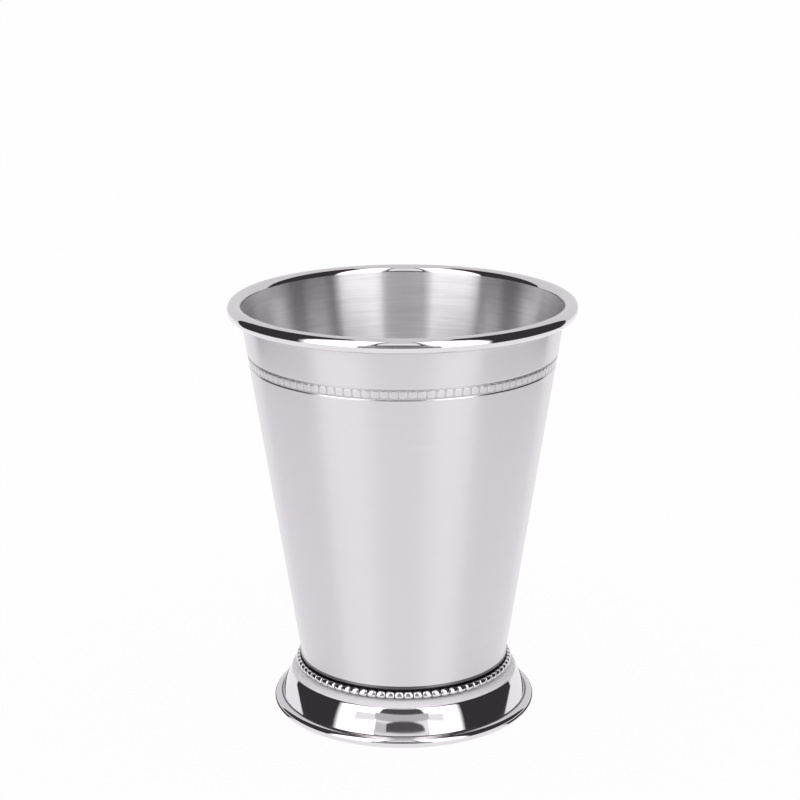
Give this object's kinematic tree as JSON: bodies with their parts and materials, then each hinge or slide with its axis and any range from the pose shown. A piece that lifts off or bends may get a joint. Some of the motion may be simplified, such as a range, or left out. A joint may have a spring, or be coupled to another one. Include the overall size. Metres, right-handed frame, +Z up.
{
  "type": "footed metal cup",
  "caption": "Tapered stainless steel drinking cup with a rolled rim, a narrow ladder band and a polished flared foot edged with pearl beading.",
  "frame": {"origin": "centre of the flat ring that the foot stands on", "axes": "+Z up along the cup's axis, from the table to the mouth; X and Y are level"},
  "size_m": [0.09, 0.09, 0.1094],
  "materials": {
    "satin_steel": "satin, brushed round the cup",
    "polished_steel": "mirror polished stainless steel"
  },
  "bodies": {
    "root": {"cup_wall": "satin_steel", "cup_floor": "satin_steel", "pearl_ring": "polished_steel", "foot": "polished_steel"}
  },
  "joints": []
}
